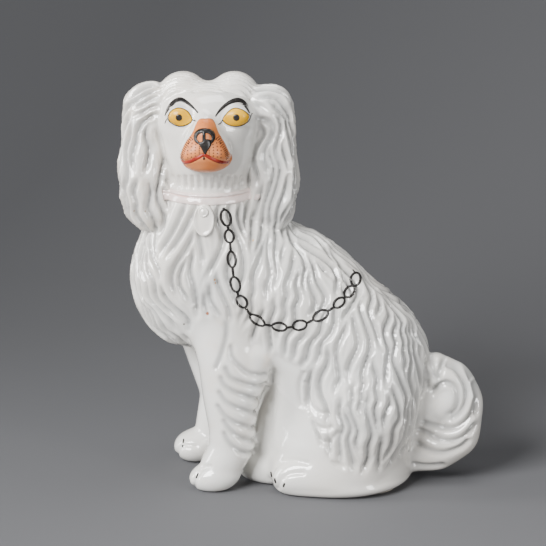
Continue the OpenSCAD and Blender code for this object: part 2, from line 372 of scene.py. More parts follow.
def combed(gap, longest, seed, where):
    """Lines laid along the hair about gap apart. Each runs until it nears another, or is long enough."""
    pick = np.random.default_rng(seed)
    surface, along, facing, wanted = point.tolist(), lie.tolist(), normal.tolist(), where.tolist()
    spacing = (gap * (1 + 0.2 * lattice(point, 25, seed + 1)) * np.where(np.isin(part_name, EARS), 0.8, 1)).tolist()
    taken, lines = {}, []
    low = low_corner.tolist()

    def nearest(q):
        n = near[int((q[0] - low[0]) / CELL), int((q[1] - low[1]) / CELL), int((q[2] - low[2]) / CELL)]
        return int(n)

    def crowded(q, limit, own):
        i, j, k = (int(c // gap) for c in q)
        for a in (i - 1, i, i + 1):
            for b in (j - 1, j, j + 1):
                for c in (k - 1, k, k + 1):
                    for r in taken.get((a, b, c), ()):
                        if r[3] != own and (r[0] - q[0]) ** 2 + (r[1] - q[1]) ** 2 + (r[2] - q[2]) ** 2 < limit:
                            return True
        return False

    def trace(start, way, own):
        q, n, path, last = surface[start], start, [], None
        for _ in range(int(longest / 2)):
            d = along[n]
            if last and d[0] * last[0] + d[1] * last[1] + d[2] * last[2] < 0:
                d = [-c for c in d]
            last = d
            q = [q[a] + d[a] * way for a in range(3)]
            n = nearest(q)
            if n < 0 or wanted[n] < 0.15:
                break
            s, f = surface[n], facing[n]
            off = sum((q[a] - s[a]) * f[a] for a in range(3))
            if abs(off) > 3:
                break
            q = [q[a] - f[a] * off for a in range(3)]
            if crowded(q, (spacing[n] * 0.48) ** 2, own):
                break
            path.append((q, n))
        return path

    queue = []
    seeds = pick.permutation(len(surface))[:9000].tolist()
    while queue or seeds:
        start = queue.pop(0) if queue else seeds.pop()
        if wanted[start] < 0.3 or crowded(surface[start], (spacing[start] * 0.97) ** 2, -1):
            continue
        own = len(lines)
        path = trace(start, -1.0, own)[::-1] + [(surface[start], start)] + trace(start, 1.0, own)
        if len(path) < 9:
            continue
        lines.append(np.array([q for q, _ in path]))
        for q, n in path:
            taken.setdefault(tuple(int(c // gap) for c in q), []).append((*q, own))
        for q, n in path[::4]:
            side = np.cross(facing[n], along[n])
            for way in (1, -1):
                m = nearest([q[a] + side[a] * way * spacing[n] for a in range(3)])
                if m >= 0:
                    queue.append(m)
    return lines


def carved(lines, wide, taper):
    """How deep a groove along the lines is at each point, 0 to 1, with rounded locks between."""
    tree = KDTree(sum(len(l) for l in lines))
    end = []
    for line in lines:
        for i, q in enumerate(line):
            tree.insert(q, len(end))
            end.append(min(1.0, (min(i, len(line) - 1 - i) + 1.5) / taper))
    tree.balance()
    hit = [tree.find(q)[1:] for q in point.tolist()]
    away = np.array([h[1] for h in hit])
    fade = np.array(end)[[h[0] for h in hit]]
    g = np.clip(1 - away / wide, 0, 1)
    return g ** 1.6 * fade, away


x, y, z = point.T
edge = np.interp(x, (-45, -30, -12, -9, -4, 8, 24, 38, 60, 85), (104, 110, 103, 75, 53, 35, 26, 20, 17, 17))
sit = (part_name == "body") | (part_name == "haunch")
amount = np.where(sit & (x > -45), amount * np.clip((z - edge) / 6 + 0.5, 0, 1), amount)
bare = np.exp(-(((x + 74) / 17) ** 2 + ((z - 114) / 20) ** 2) ** 2) * (part_name == "body")
amount *= 1 - 0.9 * bare
band = np.abs(z - 226.5 + 0.05 * (y + 2)) < 6
amount[band & (part_name == "body")] = 0
amount[(part_name == "body") & (z > 231)] = 0
amount *= 1 - 0.6 * np.exp(-(y / 10) ** 2) * np.clip(normal[:, 2] * 1.5, 0, 1) * (z < 200)
amount = spread(amount, 5)

hair = amount
main = combed(7.6, 95, 11, hair)
groove, away = carved(main, 4.2, 10)
strands = combed(4.4, 60, 23, hair)
thin, _ = carved(strands, 1.9, 9)
clump = brushed(lattice(point, 19, 37), 34)
relief = (1.3 - 4.5 * groove - 0.5 * thin + 2.2 * np.tanh(clump)) * hair * np.where(np.isin(part_name, EARS), 1.15, 1)

# Fine comb lines cross the crown from side to side, over both lobes down to the brow.
on_crown = spread(np.isin(part_name, ("crown", "head")) & (face[:, 1] < 34), 3)
hem = np.interp(np.abs(face[:, 0]), (0, 16, 26, 34), (303.5, 302.5, 299, 292))
crest = np.clip((z - hem) / 1.5, 0, 1) * on_crown
relief -= crest * np.clip((8 - face[:, 1]) / 20, 0.2, 1) * (1.35 - 1.35 * np.cos(2 * math.pi * (face[:, 1] - 0.1 * np.abs(np.abs(face[:, 0]) - 16)) / 4.2))


def curved(points, u, closed=False):
    """A place and direction on a smooth curve through points, u from 0 to 1."""
    pts = np.array(points, float)
    n = len(pts)
    t = u * (n if closed else n - 1)
    i = min(int(t), n - 1 if closed else n - 2)
    t -= i
    pick = (lambda k: pts[k % n]) if closed else (lambda k: pts[min(max(k, 0), n - 1)])
    a, b, c, d = pick(i - 1), pick(i), pick(i + 1), pick(i + 2)
    place = 0.5 * (2 * b + (c - a) * t + (2 * a - 5 * b + 4 * c - d) * t * t + (3 * b - a - 3 * c + d) * t ** 3)
    way = 0.5 * ((c - a) + 2 * (2 * a - 5 * b + 4 * c - d) * t + 3 * (3 * b - a - 3 * c + d) * t * t)
    return place, way / max(np.hypot(*way), 1e-9)


def strokes(p, path, wide):
    """1 on a line drawn through (x, z) places, falling to 0 a little over wide mm from it."""
    best = np.full(len(p), 1e9)
    fine = 4 * (len(path) - 1)
    path = [curved(path, i / fine)[0] for i in range(fine + 1)]
    for a, b in zip(path, path[1:]):
        t = np.clip(((p - a) @ (b - a)) / ((b - a) @ (b - a)), 0, 1)
        best = np.minimum(best, ((p - a - t[:, None] * (b - a)) ** 2).sum(1))
    return np.exp(-best / wide ** 2)


# Grooves cut by hand on the display side: the mouth, the lids, the ruff under the chin and the toes.
MOUTH = [(-19, 255.5), (-14, 258.3), (-9, 260.8), (-1.6, 264.6), (6, 260.8), (11, 258.3), (16.4, 255.5)]
before = face[:, 1] < -28
flat = face[:, (0, 2)]
relief -= before * 0.9 * strokes(flat, MOUTH, 1.3)
for middle, wide in ((-19.4, 8.9), (21.4, 9.9)):
    ring = [(middle + (wide + 1) * math.cos(a / 12 * math.pi), 287.5 + 8.2 * math.sin(a / 12 * math.pi)) for a in range(25)]
    relief -= before * 0.55 * strokes(flat, ring, 1.1)
for n in range(11):
    across = -26 + 5.1 * n
    line = [(across, 243 - 0.006 * across ** 2), (across * 0.97, 233.5)]
    relief -= (face[:, 1] < -12) * (part_name != "muzzle") * 1.7 * strokes(flat, line, 1.25)
TOES = [((-33, 8), (-32, 18), (-26, 25), (-16, 28.5), (-4, 28)), ((-27, 6), (-24.5, 14), (-18, 19.5), (-8, 21))]
side_on = point[:, (0, 2)]
for line in TOES:
    relief -= 1.3 * (np.abs(y) > 20) * (part_name != "near leg") * strokes(side_on, line, 1.7)
# The tail curls up and over on itself, in thick strands.
TAIL = [((97, 95), (104, 91.5), (111, 80), (111.5, 70), (108, 61), (101, 54)), ((87, 74), (91, 80), (97, 82), (103, 78.5),
        (105.5, 70), (104, 62), (100, 57)), ((80, 49), (89, 46), (100, 46), (109, 50), (116, 58), (119, 68)),
        ((77, 43), (83, 40.5), (91, 37.5), (101, 36.5), (110, 40), (118, 48)), ((76, 33), (86, 28.5), (96, 27), (107, 31), (113, 36)),
        ((83, 101), (86, 92), (87.5, 86)), ((79, 96), (83, 87), (82, 77)), ((94, 97), (91, 90), (90, 85)), ((103, 100), (110, 93), (115, 84)),
        ((66, 18), (80, 15), (94, 16)), ((117, 80), (120, 70), (119, 58))]
strand = np.zeros(len(point))
for line in TAIL:
    strand = np.maximum(strand, strokes(side_on, line, 2.2))
on_tail = spread(part_name == "tail", 4)
relief += on_tail * (0.9 - 3.6 * strand * np.clip(np.abs(normal[:, 1]) * 1.6, 0.1, 1))
# Feathering down the back of the forelegs: locks that sweep down and back from the shin.
FEATHER = [((-62.8, 114), (-61.6, 106.7), (-56.7, 100.4), (-49.4, 93.8), (-39, 91)),
           ((-66.5, 98), (-62.8, 91.5), (-56.7, 87.7), (-47, 83.9), (-40, 82)),
           ((-70.1, 90.3), (-67.2, 85), (-60.4, 80.1), (-50.6, 75.6), (-41, 69)),
           ((-71.4, 79), (-66.5, 72.6), (-58, 67.6), (-50, 63.4), (-42, 58)),
           ((-72.6, 68), (-67.7, 61.5), (-60.4, 56.6), (-51.9, 52), (-42, 45)),
           ((-67.7, 57), (-62.8, 50), (-56.7, 44.6), (-49, 39.5), (-43, 35)),
           ((-67.7, 47), (-64, 40.5), (-58, 34.4), (-52, 30.5), (-46, 28)),
           ((-62.5, 155), (-67, 142), (-66, 124), (-70, 108), (-74, 98))]
feather = np.zeros(len(point))
for line in FEATHER:
    feather = np.maximum(feather, strokes(side_on, line, 1.9))
near_lock = spread((part_name == "near leg") & (y < -20), 3)
rear = np.clip((x + 64) / 12, 0, 1) * np.clip((z - 22) / 10, 0, 1)
relief += near_lock * (0.9 * rear - (1.6 + 1.6 * rear) * feather)
moved = np.array(point)
moved[:, 0] += 14
far_feather = np.zeros(len(point))
for line in FEATHER[1:-1]:
    far_feather = np.maximum(far_feather, strokes(moved[:, (0, 2)] + (-4, 0), line, 1.9))
relief -= 1.6 * spread((part_name == "far leg") & (y > 30), 3) * far_feather
# The haunch starts in a swirl of locks, set off from the bare belly by a groove.
SWIRL = [((-9, 96), (-12, 84), (-11.4, 70), (-7, 54), (0, 42), (9, 32), (22, 27)), ((-8, 88), (-6, 75), (1, 67), (10, 66.5)),
         ((-8, 72), (-3, 59), (6, 55), (13, 57)), ((-4, 57), (2, 47.5), (10, 44.5), (17, 53))]
swirl = np.zeros(len(point))
for line in SWIRL:
    swirl = np.maximum(swirl, strokes(side_on, line, 1.9))
relief -= 2.2 * sit * (y < -15) * swirl
# Behind the near foreleg the belly falls back into a hollow.
hollow = spread((sit | (part_name == "foot")) & (y < -6), 5)
relief -= 5.5 * hollow * strokes(side_on, ((-36, 88), (-38.5, 64), (-41, 40), (-46, 27)), 8)
relief -= 1.6 * (part_name == "near leg") * (y < -30) * strokes(side_on, ((-91, 3), (-89.6, 10), (-87.4, 15), (-83.8, 19), (-78.6, 21)), 1.5)
relief -= 1.3 * (part_name == "far leg") * (y < 24) * strokes(side_on, ((-97, 16), (-107, 15.5), (-112, 11), (-113.5, 3)), 1.5)
move(figure.data, (point + normal * relief[:, None]) / 1000)
smoothed(figure, 1)

# ---------------------------------------------------------------- Parting the form into its pieces
# The display half and the plain half of the body meet along the figure's middle plane. The
# forelegs, ears and tail were luted on. Each piece is closed where it meets its neighbours.
smooth_normal = np.zeros(len(point) * 3)
figure.data.vertex_normals.foreach_get("vector", smooth_normal)
smooth_normal = smooth_normal.reshape(-1, 3)
# Groove colour: partly the blue-grey glaze that pools in the grooves, partly painted shade where the grooves fall into
# shadow.
groove_pool_and_shade = spread(np.maximum.reduce([groove ** 0.8 * hair, 0.4 * thin * hair, 0.8 * strand * on_tail, 0.8 * feather * near_lock]), 1)
worn = 0.75 * np.isin(part_name, ("right ear",)) + 0.35 * (part_name == "near leg") + 0.3 * (part_name == "tail")
worn += 0.35 * (z > 295) + 0.9 * np.exp(-((x + 36) ** 2 + (z - 104) ** 2) / 30)
worn = spread(np.clip(worn, 0, 1), 6)
for label, values in (("pool_and_shade", groove_pool_and_shade), ("stain", worn)):
    figure.data.attributes.new(label, "FLOAT", "POINT").data.foreach_set("value", values.astype(np.float32))
OWNER = {"left ear": "left_ear", "right ear": "right_ear", "tail": "tail", "near leg": "left_foreleg",
         "far leg": "right_foreleg"}
PIECES = ["front_shell", "back_shell", "left_foreleg", "right_foreleg", "tail", "left_ear", "right_ear"]
owner = np.array([OWNER.get(n, "front_shell") for n in part_name])
claims = np.stack([spread(owner == name, 8) for name in PIECES[2:]], 1)
chosen = np.where(claims.max(1) > 0.5, claims.argmax(1) + 2, np.where(y < 0, 0, 1))
triangles = figure.data.polygons
corner = np.zeros(len(figure.data.loops), np.int64)
figure.data.loops.foreach_get("vertex_index", corner)
first = np.zeros(len(triangles), np.int64)
triangles.foreach_get("loop_start", first)
face_piece = chosen[corner[first]]
surface = BVHTree.FromObject(figure, bpy.context.evaluated_depsgraph_get())
normal_of = figure.data.attributes.new("lay", "FLOAT_VECTOR", "POINT")
normal_of.data.foreach_set("vector", smooth_normal.astype(np.float32).ravel())

glazed = {}
for n, name in enumerate(PIECES):
    bm = bmesh.new()
    bm.from_mesh(figure.data)
    bm.faces.ensure_lookup_table()
    gone = [bm.faces[i] for i in np.nonzero(face_piece != n)[0].tolist()]
    bmesh.ops.delete(bm, geom=gone, context="FACES")
    rim = [e for e in bm.edges if e.is_boundary]
    lay = bm.verts.layers.float_vector["lay"]
    for depth in (1.2, 2.4):
        turned = bmesh.ops.extrude_edge_only(bm, edges=rim)["geom"]
        rim = [e for e in turned if isinstance(e, bmesh.types.BMEdge) and e.is_boundary]
        lip = {v for e in rim for v in e.verts}
        for v in lip:
            v.co -= v[lay] * (depth / 1000)
        for _ in range(4):
            even = {v: sum((e.other_vert(v).co for e in v.link_edges if e.is_boundary), Vector()) /
                    max(sum(e.is_boundary for e in v.link_edges), 1) for v in lip}
            for v, place in even.items():
                v.co = (v.co + place) / 2
    filled = bmesh.ops.holes_fill(bm, edges=rim, sides=0)["faces"]
    bmesh.ops.triangulate(bm, faces=filled)
    bmesh.ops.recalc_face_normals(bm, faces=bm.faces[:])
    mesh = bpy.data.meshes.new(name)
    bm.to_mesh(mesh)
    bm.free()
    mesh.polygons.foreach_set("use_smooth", [True] * len(mesh.polygons))
    lay = np.zeros(len(mesh.vertices) * 3)
    mesh.attributes["lay"].data.foreach_get("vector", lay)
    mesh.normals_split_custom_set_from_vertices(lay.reshape(-1, 3).tolist())
    mesh.attributes.remove(mesh.attributes["lay"])
    obj = bpy.data.objects.new(name + "_glazed", mesh)
    bpy.context.scene.collection.objects.link(obj)
    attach(obj, "root")
    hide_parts(name)
    glazed[name] = obj
bpy.data.objects.remove(figure)


def spot(x, z, on_face):
    """The glazed surface behind a place, as the painter saw it, and which way it faces."""
    c, s = math.cos(HEAD_TURN), math.sin(HEAD_TURN)
    if on_face:
        start, way = Vector(on_head(x, -120, z)) / 1000, Vector((-s, c, 0))
    else:
        way = Vector((-0.10, 1, -0.28))
        start = Vector((x, -45, z)) / 1000 - way * 0.12
    place, facing, *_ = surface.ray_cast(start, way)
    return place, facing


# Iron specks that came through the glaze in the kiln: place on the flank, size in mm, tone.
SPECKS = [((-80, 140), 1.5, (0.30, 0.09, 0.03)), ((-74.5, 166), 1.1, (0.60, 0.30, 0.12)), ((-74, 163.6), 0.9, (0.60, 0.30, 0.12)),
          ((-46, 197), 1.0, (0.70, 0.42, 0.20)), ((-98, 131), 0.8, (0.12, 0.10, 0.08)), ((72, 36), 1.1, (0.03, 0.03, 0.03)),
          ((-134.5, 217), 0.7, (0.35, 0.22, 0.12)), ((-126, 217), 0.7, (0.35, 0.22, 0.12)), ((-36, 83), 0.7, (0.2, 0.18, 0.16))]


def glaze_group():
    """Tint, gloss and unevenness of a thick, slightly blue lead glaze over white clay, with the grooves darkened:
    partly glaze pooled there and partly painted shade.
    """
    tree = bpy.data.node_groups.new("lead glaze", "ShaderNodeTree")
    for label, kind, end in (("Clay", "Color", "INPUT"), ("Pooled_And_Shaded", "Color", "INPUT"), ("Warm", "Color", "INPUT"),
                             ("Pool_And_Shade", "Float", "INPUT"), ("Stain", "Float", "INPUT"), ("Color", "Color", "OUTPUT"),
                             ("Roughness", "Float", "OUTPUT"), ("Height", "Float", "OUTPUT")):
        tree.interface.new_socket(label, in_out=end, socket_type="NodeSocket" + kind)
    new, link = tree.nodes.new, tree.links.new
    inn, out = new("NodeGroupInput"), new("NodeGroupOutput")
    where = new("ShaderNodeTexCoord")

    def noise(scale, detail, rough=0.5):
        node = new("ShaderNodeTexNoise")
        node.inputs["Scale"].default_value = scale
        node.inputs["Detail"].default_value = detail
        node.inputs["Roughness"].default_value = rough
        link(where.outputs["Object"], node.inputs["Vector"])
        return node.outputs["Fac"]

    def ranged(value, low, high, to_low, to_high):
        node = new("ShaderNodeMapRange")
        node.inputs["From Min"].default_value, node.inputs["From Max"].default_value = low, high
        node.inputs["To Min"].default_value, node.inputs["To Max"].default_value = to_low, to_high
        link(value, node.inputs["Value"])
        return node.outputs["Result"]

    def mixed(a, b, factor):
        node = new("ShaderNodeMix")
        node.data_type = "RGBA"
        link(factor, node.inputs["Factor"])
        link(a, node.inputs["A"])
        link(b, node.inputs["B"])
        return node.outputs["Result"]

    def math_of(op, a, b):
        node = new("ShaderNodeMath")
        node.operation = op
        for socket, value in zip(node.inputs, (a, b)):
            if isinstance(value, (int, float)):
                socket.default_value = value
            else:
                link(value, socket)
        return node.outputs[0]

    broad = ranged(noise(14, 3), 0.42, 0.66, 0, 0.35)
    col = mixed(inn.outputs["Clay"], inn.outputs["Warm"], broad)
    blot = ranged(noise(75, 4, 0.6), 0.45, 0.72, 0, 1)
    col = mixed(col, inn.outputs["Warm"], math_of("MULTIPLY", inn.outputs["Stain"], blot))
    # The grooves take the darker tone: pooled glaze and painted shade.
    col = mixed(col, inn.outputs["Pooled_And_Shaded"], math_of("MULTIPLY", inn.outputs["Pool_And_Shade"], 0.85))
    for place, size, tone in SPECKS:
        away, fleck = new("ShaderNodeVectorMath"), new("ShaderNodeRGB")
        away.operation = "DISTANCE"
        away.inputs[1].default_value = spot(*place, False)[0] or (0, 0, 0)
        fleck.outputs[0].default_value = (*tone, 1)
        link(where.outputs["Object"], away.inputs[0])
        col = mixed(col, fleck.outputs[0], ranged(away.outputs["Value"], size / 950, size / 1600, 0, 1))
    link(col, out.inputs["Color"])
    link(ranged(noise(60, 2), 0.3, 0.7, 0.10, 0.20), out.inputs["Roughness"])
    link(math_of("ADD", math_of("MULTIPLY", noise(330, 2), 0.5), noise(90, 2)), out.inputs["Height"])
    return tree


lead_glaze = glaze_group()


def glazed_finish(name, clay_tone, pooled_and_shaded, warm, gloss_bump=0.12, stain=0.0):
    made = bpy.data.materials.new(name)
    made.use_nodes = True
    tree = made.node_tree
    new, link = tree.nodes.new, tree.links.new
    shader = tree.nodes["Principled BSDF"]
    shader.inputs["IOR"].default_value = 1.55
    shader.inputs["Coat Weight"].default_value = 1.0
    shader.inputs["Coat Roughness"].default_value = 0.04
    g = new("ShaderNodeGroup")
    g.node_tree = lead_glaze
    g.inputs["Clay"].default_value = (*clay_tone, 1)
    g.inputs["Pooled_And_Shaded"].default_value = (*pooled_and_shaded, 1)
    g.inputs["Warm"].default_value = (*warm, 1)
    for label in ("pool_and_shade", "stain"):
        read = new("ShaderNodeAttribute")
        read.attribute_name = label
        link(read.outputs["Fac"], g.inputs[label.title()])
    bump = new("ShaderNodeBump")
    bump.inputs["Strength"].default_value = gloss_bump
    bump.inputs["Distance"].default_value = 0.0006
    link(g.outputs["Height"], bump.inputs["Height"])
    link(bump.outputs["Normal"], shader.inputs["Normal"])
    link(g.outputs["Color"], shader.inputs["Base Color"])
    link(g.outputs["Roughness"], shader.inputs["Roughness"])
    return made


# The second tone is the groove colour: pooled glaze, darkened further as painted shade.
white_glaze = glazed_finish("white glaze", (0.85, 0.838, 0.80), (0.31, 0.315, 0.315), (0.81, 0.72, 0.61))
for obj in glazed.values():
    obj.data.materials.clear()
    obj.data.materials.append(white_glaze)

# ---------------------------------------------------------------- Base slab
# A flat oval of clay closes the underside, unglazed where it was wiped to stand in the kiln.
# A round vent lets hot air out of the hollow figure.
SLAB, VENT = 0.006, (0.024, 0.005)
SLAB_EDGE = [(69, 0), (62, 28), (44, 42), (18, 47), (-6, 46), (-22, 37), (-36, 25), (-52, 12), (-59, 0), (-52, -12), (-36, -25),
             (-22, -37), (-6, -47), (18, -49), (44, -43), (62, -29)]
bm = bmesh.new()
ring = bmesh.ops.create_circle(bm, segments=96, radius=1)["verts"]
for n, v in enumerate(ring):
    x_at, y_at = curved(SLAB_EDGE, n / len(ring), True)[0]
    v.co = Vector((4 + 0.92 * (x_at - 4), 0.93 * y_at, 0)) / 1000
hole = bmesh.ops.create_circle(bm, segments=32, radius=VENT[1], matrix=Matrix.Translation((VENT[0], 0, 0)))["verts"]
bmesh.ops.triangle_fill(bm, use_beauty=True, edges=bm.edges[:])
inside = [f for f in bm.faces if all((v.co - Vector((VENT[0], 0, 0))).length < VENT[1] * 1.01 for v in f.verts)]
bmesh.ops.delete(bm, geom=inside, context="FACES")
side = bmesh.ops.extrude_face_region(bm, geom=bm.faces[:])["geom"]
bmesh.ops.translate(bm, vec=(0, 0, SLAB), verts=[v for v in side if isinstance(v, bmesh.types.BMVert)])
bmesh.ops.recalc_face_normals(bm, faces=bm.faces[:])
mesh = bpy.data.meshes.new("slab")
bm.to_mesh(mesh)
bm.free()
slab = bpy.data.objects.new("slab", mesh)
bpy.context.scene.collection.objects.link(slab)
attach(slab, "root")
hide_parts("base_slab")
bisque = glazed_finish("bare clay", (0.70, 0.64, 0.54), (0.5, 0.46, 0.4), (0.58, 0.5, 0.4), 0.6)
shader = bisque.node_tree.nodes["Principled BSDF"]
shader.inputs["Coat Weight"].default_value = 0
for l in list(shader.inputs["Roughness"].links):
    bisque.node_tree.links.remove(l)
shader.inputs["Roughness"].default_value = 0.8
mesh.materials.append(bisque)

# ---------------------------------------------------------------- Overglaze enamels
# Colours painted on the glaze with a brush and fixed in a last, cooler firing. Each lies on
# the glaze as a thin raised coat that follows the modelling beneath.
def brush(bm, path, wide, lift=0.35, on_face=True, closed=False, taper=0.5, around=4, steps=None, base=0.06):
    """One stroke along a curve, as wide as wide in the middle, thinning to its ends by taper."""
    length = sum(np.hypot(*(np.array(b, float) - a)) for a, b in zip(path, path[1:]))
    steps = steps or max(6, int(length / 0.8))
    made = bmesh.ops.create_grid(bm, x_segments=steps, y_segments=around, size=1)["verts"]
    for v in made:
        u, w = (v.co.x + 1) / 2, v.co.y
        place, way = curved(path, u, closed)
        half = wide / 2 * (1 if closed else (1 - taper) + taper * math.sin(math.pi * min(max(u, 0.02), 0.98)) ** 0.6)
        turned = max(1 - ((place[0] - 1) / 37) ** 2, 0.15) ** 0.5 if on_face else 1
        x, z = place + np.array((-way[1] * turned, way[0])) * w * half
        at, facing = spot(x, z, on_face)
        if at is None:
            at, facing = spot(*place, on_face)
        if at is None:
            at, facing, *_ = surface.find_nearest(Vector((x, 0, z)) / 1000)
        v.co = at + facing * (base + lift * (1 - w * w)) / 1000
    bmesh.ops.remove_doubles(bm, verts=made, dist=1e-6)


def patch(bm, middle, outline, lift=0.2, on_face=True, spokes=48, rings=8, height=None, base=0.05):
    """A filled patch of enamel inside a smooth closed outline round its middle."""
    made = bmesh.ops.create_grid(bm, x_segments=spokes, y_segments=rings, size=1)["verts"]
    for v in made:
        u, w = (v.co.x + 1) / 2, (v.co.y + 1) / 2
        rim, _ = curved(outline, u % 1, True)
        x, z = np.array(middle) + (rim - middle) * w
        at, facing = spot(x, z, on_face)
        up = height(w, u) if height else lift * min(1, (1 - w) * 6)
        v.co = at + facing * (base + up) / 1000
    bmesh.ops.remove_doubles(bm, verts=made, dist=1e-6)


def oval(middle, wide, high, n=12, turn=0.0):
    c, s = math.cos(turn), math.sin(turn)
    return [(middle[0] + c * wide * math.cos(a) - s * high * math.sin(a),
             middle[1] + s * wide * math.cos(a) + c * high * math.sin(a))
            for a in (2 * math.pi * i / n for i in range(n))]


def enamelled(bm, name, finish, nodes, thick=0.5):
    """Closes the strokes into a thin coat and makes them a piece of the figure."""
    bmesh.ops.recalc_face_normals(bm, faces=bm.faces[:])
    todo = set(bm.faces)
    while todo:
        island, edge = [], [todo.pop()]
        while edge:
            f = edge.pop()
            island.append(f)
            for e in f.edges:
                for g in e.link_faces:
                    if g in todo:
                        todo.discard(g)
                        edge.append(g)
        if sum(f.normal.y * f.calc_area() for f in island) > 0:
            bmesh.ops.reverse_faces(bm, faces=island)
    mesh = bpy.data.meshes.new(name)
    bm.to_mesh(mesh)
    bm.free()
    obj = bpy.data.objects.new(name, mesh)
    bpy.context.scene.collection.objects.link(obj)
    wall = obj.modifiers.new("body of enamel", "SOLIDIFY")
    wall.thickness, wall.offset = thick / 1000, -1
    bpy.context.view_layer.update()
    obj.data = bpy.data.meshes.new_from_object(obj.evaluated_get(bpy.context.evaluated_depsgraph_get()))
    obj.modifiers.clear()
    obj.data.polygons.foreach_set("use_smooth", [True] * len(obj.data.polygons))
    obj.data.materials.clear()
    obj.data.materials.append(finish)
    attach(obj, "root")
    if nodes:
        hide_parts(*nodes)
    return obj


def brushed_enamel():
    """The uneven strength and gloss that a loaded brush leaves."""
    tree = bpy.data.node_groups.new("brushed enamel", "ShaderNodeTree")
    for label, kind, end in (("Thin", "Color", "INPUT"), ("Thick", "Color", "INPUT"), ("Scale", "Float", "INPUT"),
                             ("Color", "Color", "OUTPUT"), ("Strength", "Float", "OUTPUT")):
        tree.interface.new_socket(label, in_out=end, socket_type="NodeSocket" + kind)
    new, link = tree.nodes.new, tree.links.new
    inn, out, where = new("NodeGroupInput"), new("NodeGroupOutput"), new("ShaderNodeTexCoord")
    noise, load, mix = new("ShaderNodeTexNoise"), new("ShaderNodeMapRange"), new("ShaderNodeMix")
    noise.inputs["Detail"].default_value = 4
    load.inputs["From Min"].default_value, load.inputs["From Max"].default_value = 0.35, 0.68
    mix.data_type = "RGBA"
    link(where.outputs["Object"], noise.inputs["Vector"])
    link(inn.outputs["Scale"], noise.inputs["Scale"])
    link(noise.outputs["Fac"], load.inputs["Value"])
    link(load.outputs["Result"], mix.inputs["Factor"])
    link(inn.outputs["Thin"], mix.inputs["A"])
    link(inn.outputs["Thick"], mix.inputs["B"])
    link(mix.outputs["Result"], out.inputs["Color"])
    link(load.outputs["Result"], out.inputs["Strength"])
    return tree


brushed = brushed_enamel()


def enamel(name, thin, thick, scale, gloss=0.22):
    """An enamel colour, as thin as thin and as thick as thick."""
    made = bpy.data.materials.new(name)
    made.use_nodes = True
    tree = made.node_tree
    new, link = tree.nodes.new, tree.links.new
    shader = tree.nodes["Principled BSDF"]
    shader.inputs["Specular IOR Level"].default_value = 0.28
    shader.inputs["Coat Weight"].default_value = 0.05
    shader.inputs["Coat Roughness"].default_value = 0.08
    g, rough = new("ShaderNodeGroup"), new("ShaderNodeMapRange")
    g.node_tree = brushed
    g.inputs["Thin"].default_value, g.inputs["Thick"].default_value = (*thin, 1), (*thick, 1)
    g.inputs["Scale"].default_value = scale
    rough.inputs["To Min"].default_value, rough.inputs["To Max"].default_value = gloss - 0.04, gloss + 0.08
    link(g.outputs["Strength"], rough.inputs["Value"])
    link(g.outputs["Color"], shader.inputs["Base Color"])
    link(rough.outputs["Result"], shader.inputs["Roughness"])
    return made


black = enamel("black enamel", (0.012, 0.011, 0.011), (0.035, 0.032, 0.030), 220)
yellow = enamel("amber enamel", (0.70, 0.34, 0.006), (0.79, 0.43, 0.012), 110)
orange = enamel("flesh enamel", (0.59, 0.17, 0.045), (0.68, 0.235, 0.08), 70, 0.3)
red = enamel("iron red enamel", (0.22, 0.015, 0.010), (0.36, 0.04, 0.02), 160, 0.28)

EYES = [((-19.4, 287.6), [(-28.0, 287.0), (-26.4, 290.8), (-22.6, 293.4), (-18.4, 293.7), (-14.2, 291.9), (-11.6, 288.8),
                          (-10.4, 285.6), (-13.2, 282.6), (-18.6, 280.6), (-24.2, 281.6), (-27.4, 284.0)]),
        ((21.4, 287.6), [(11.4, 285.8), (14.2, 290.0), (17.8, 293.0), (22.0, 293.7), (26.6, 292.1), (29.8, 289.3),
                         (31.4, 287.0), (29.4, 283.4), (25.0, 280.9), (20.2, 280.5), (15.0, 282.2)])]
PUPILS = [(-20.0, 287.4), (21.3, 287.4)]
bm = bmesh.new()
for middle, outline in EYES:
    patch(bm, middle, outline, 0.25)
enamelled(bm, "irises", yellow, ["iris_enamel"])
bm = bmesh.new()
for middle in PUPILS:
    patch(bm, middle, oval(middle, 2.7, 2.8), 0.5, spokes=24, rings=4)
enamelled(bm, "pupils", black, ["pupil_enamel"])

BROWS = [[(-30.8, 285.8), (-29.0, 290.6), (-25.2, 295.4), (-19.4, 298.2), (-13.0, 296.2), (-6.2, 290.8)],
         [(6.2, 288.4), (10.2, 293.0), (16.2, 296.8), (22.4, 297.6), (27.4, 294.8), (30.8, 289.8)]]
bm = bmesh.new()
for line in BROWS:
    brush(bm, line, 2.7, 0.4, taper=0.8)
for middle, outline in EYES:
    brush(bm, outline, 0.55, 0.45, closed=True, around=2, steps=90)
for line in ([(-28.4, 285.4), (-29.6, 283.6), (-30.8, 280.4)], [(-10.6, 285.6), (-7.4, 285.8)],
             [(11.6, 286.0), (10.0, 283.8), (8.2, 283.0)], [(31.2, 287.0), (33.0, 286.6)]):
    brush(bm, line, 0.8, 0.45, taper=0.7, around=2)
enamelled(bm, "brows_and_lids", black, ["brow_enamel"])

MUZZLE = [(-0.9, 288.0), (-6.0, 286.6), (-10.4, 278.0), (-15.6, 270.6), (-18.8, 262.4), (-19.6, 255.2), (-15.4, 250.4),
          (-8.6, 248.0), (-0.6, 247.2), (7.6, 248.0), (14.4, 250.4), (18.0, 255.6), (16.8, 262.4), (13.2, 270.6),
          (8.8, 278.0), (4.8, 286.6)]
bm = bmesh.new()
patch(bm, (-1.2, 264), MUZZLE, 0.2, spokes=120, rings=26)
enamelled(bm, "muzzle", orange, ["muzzle_enamel"])

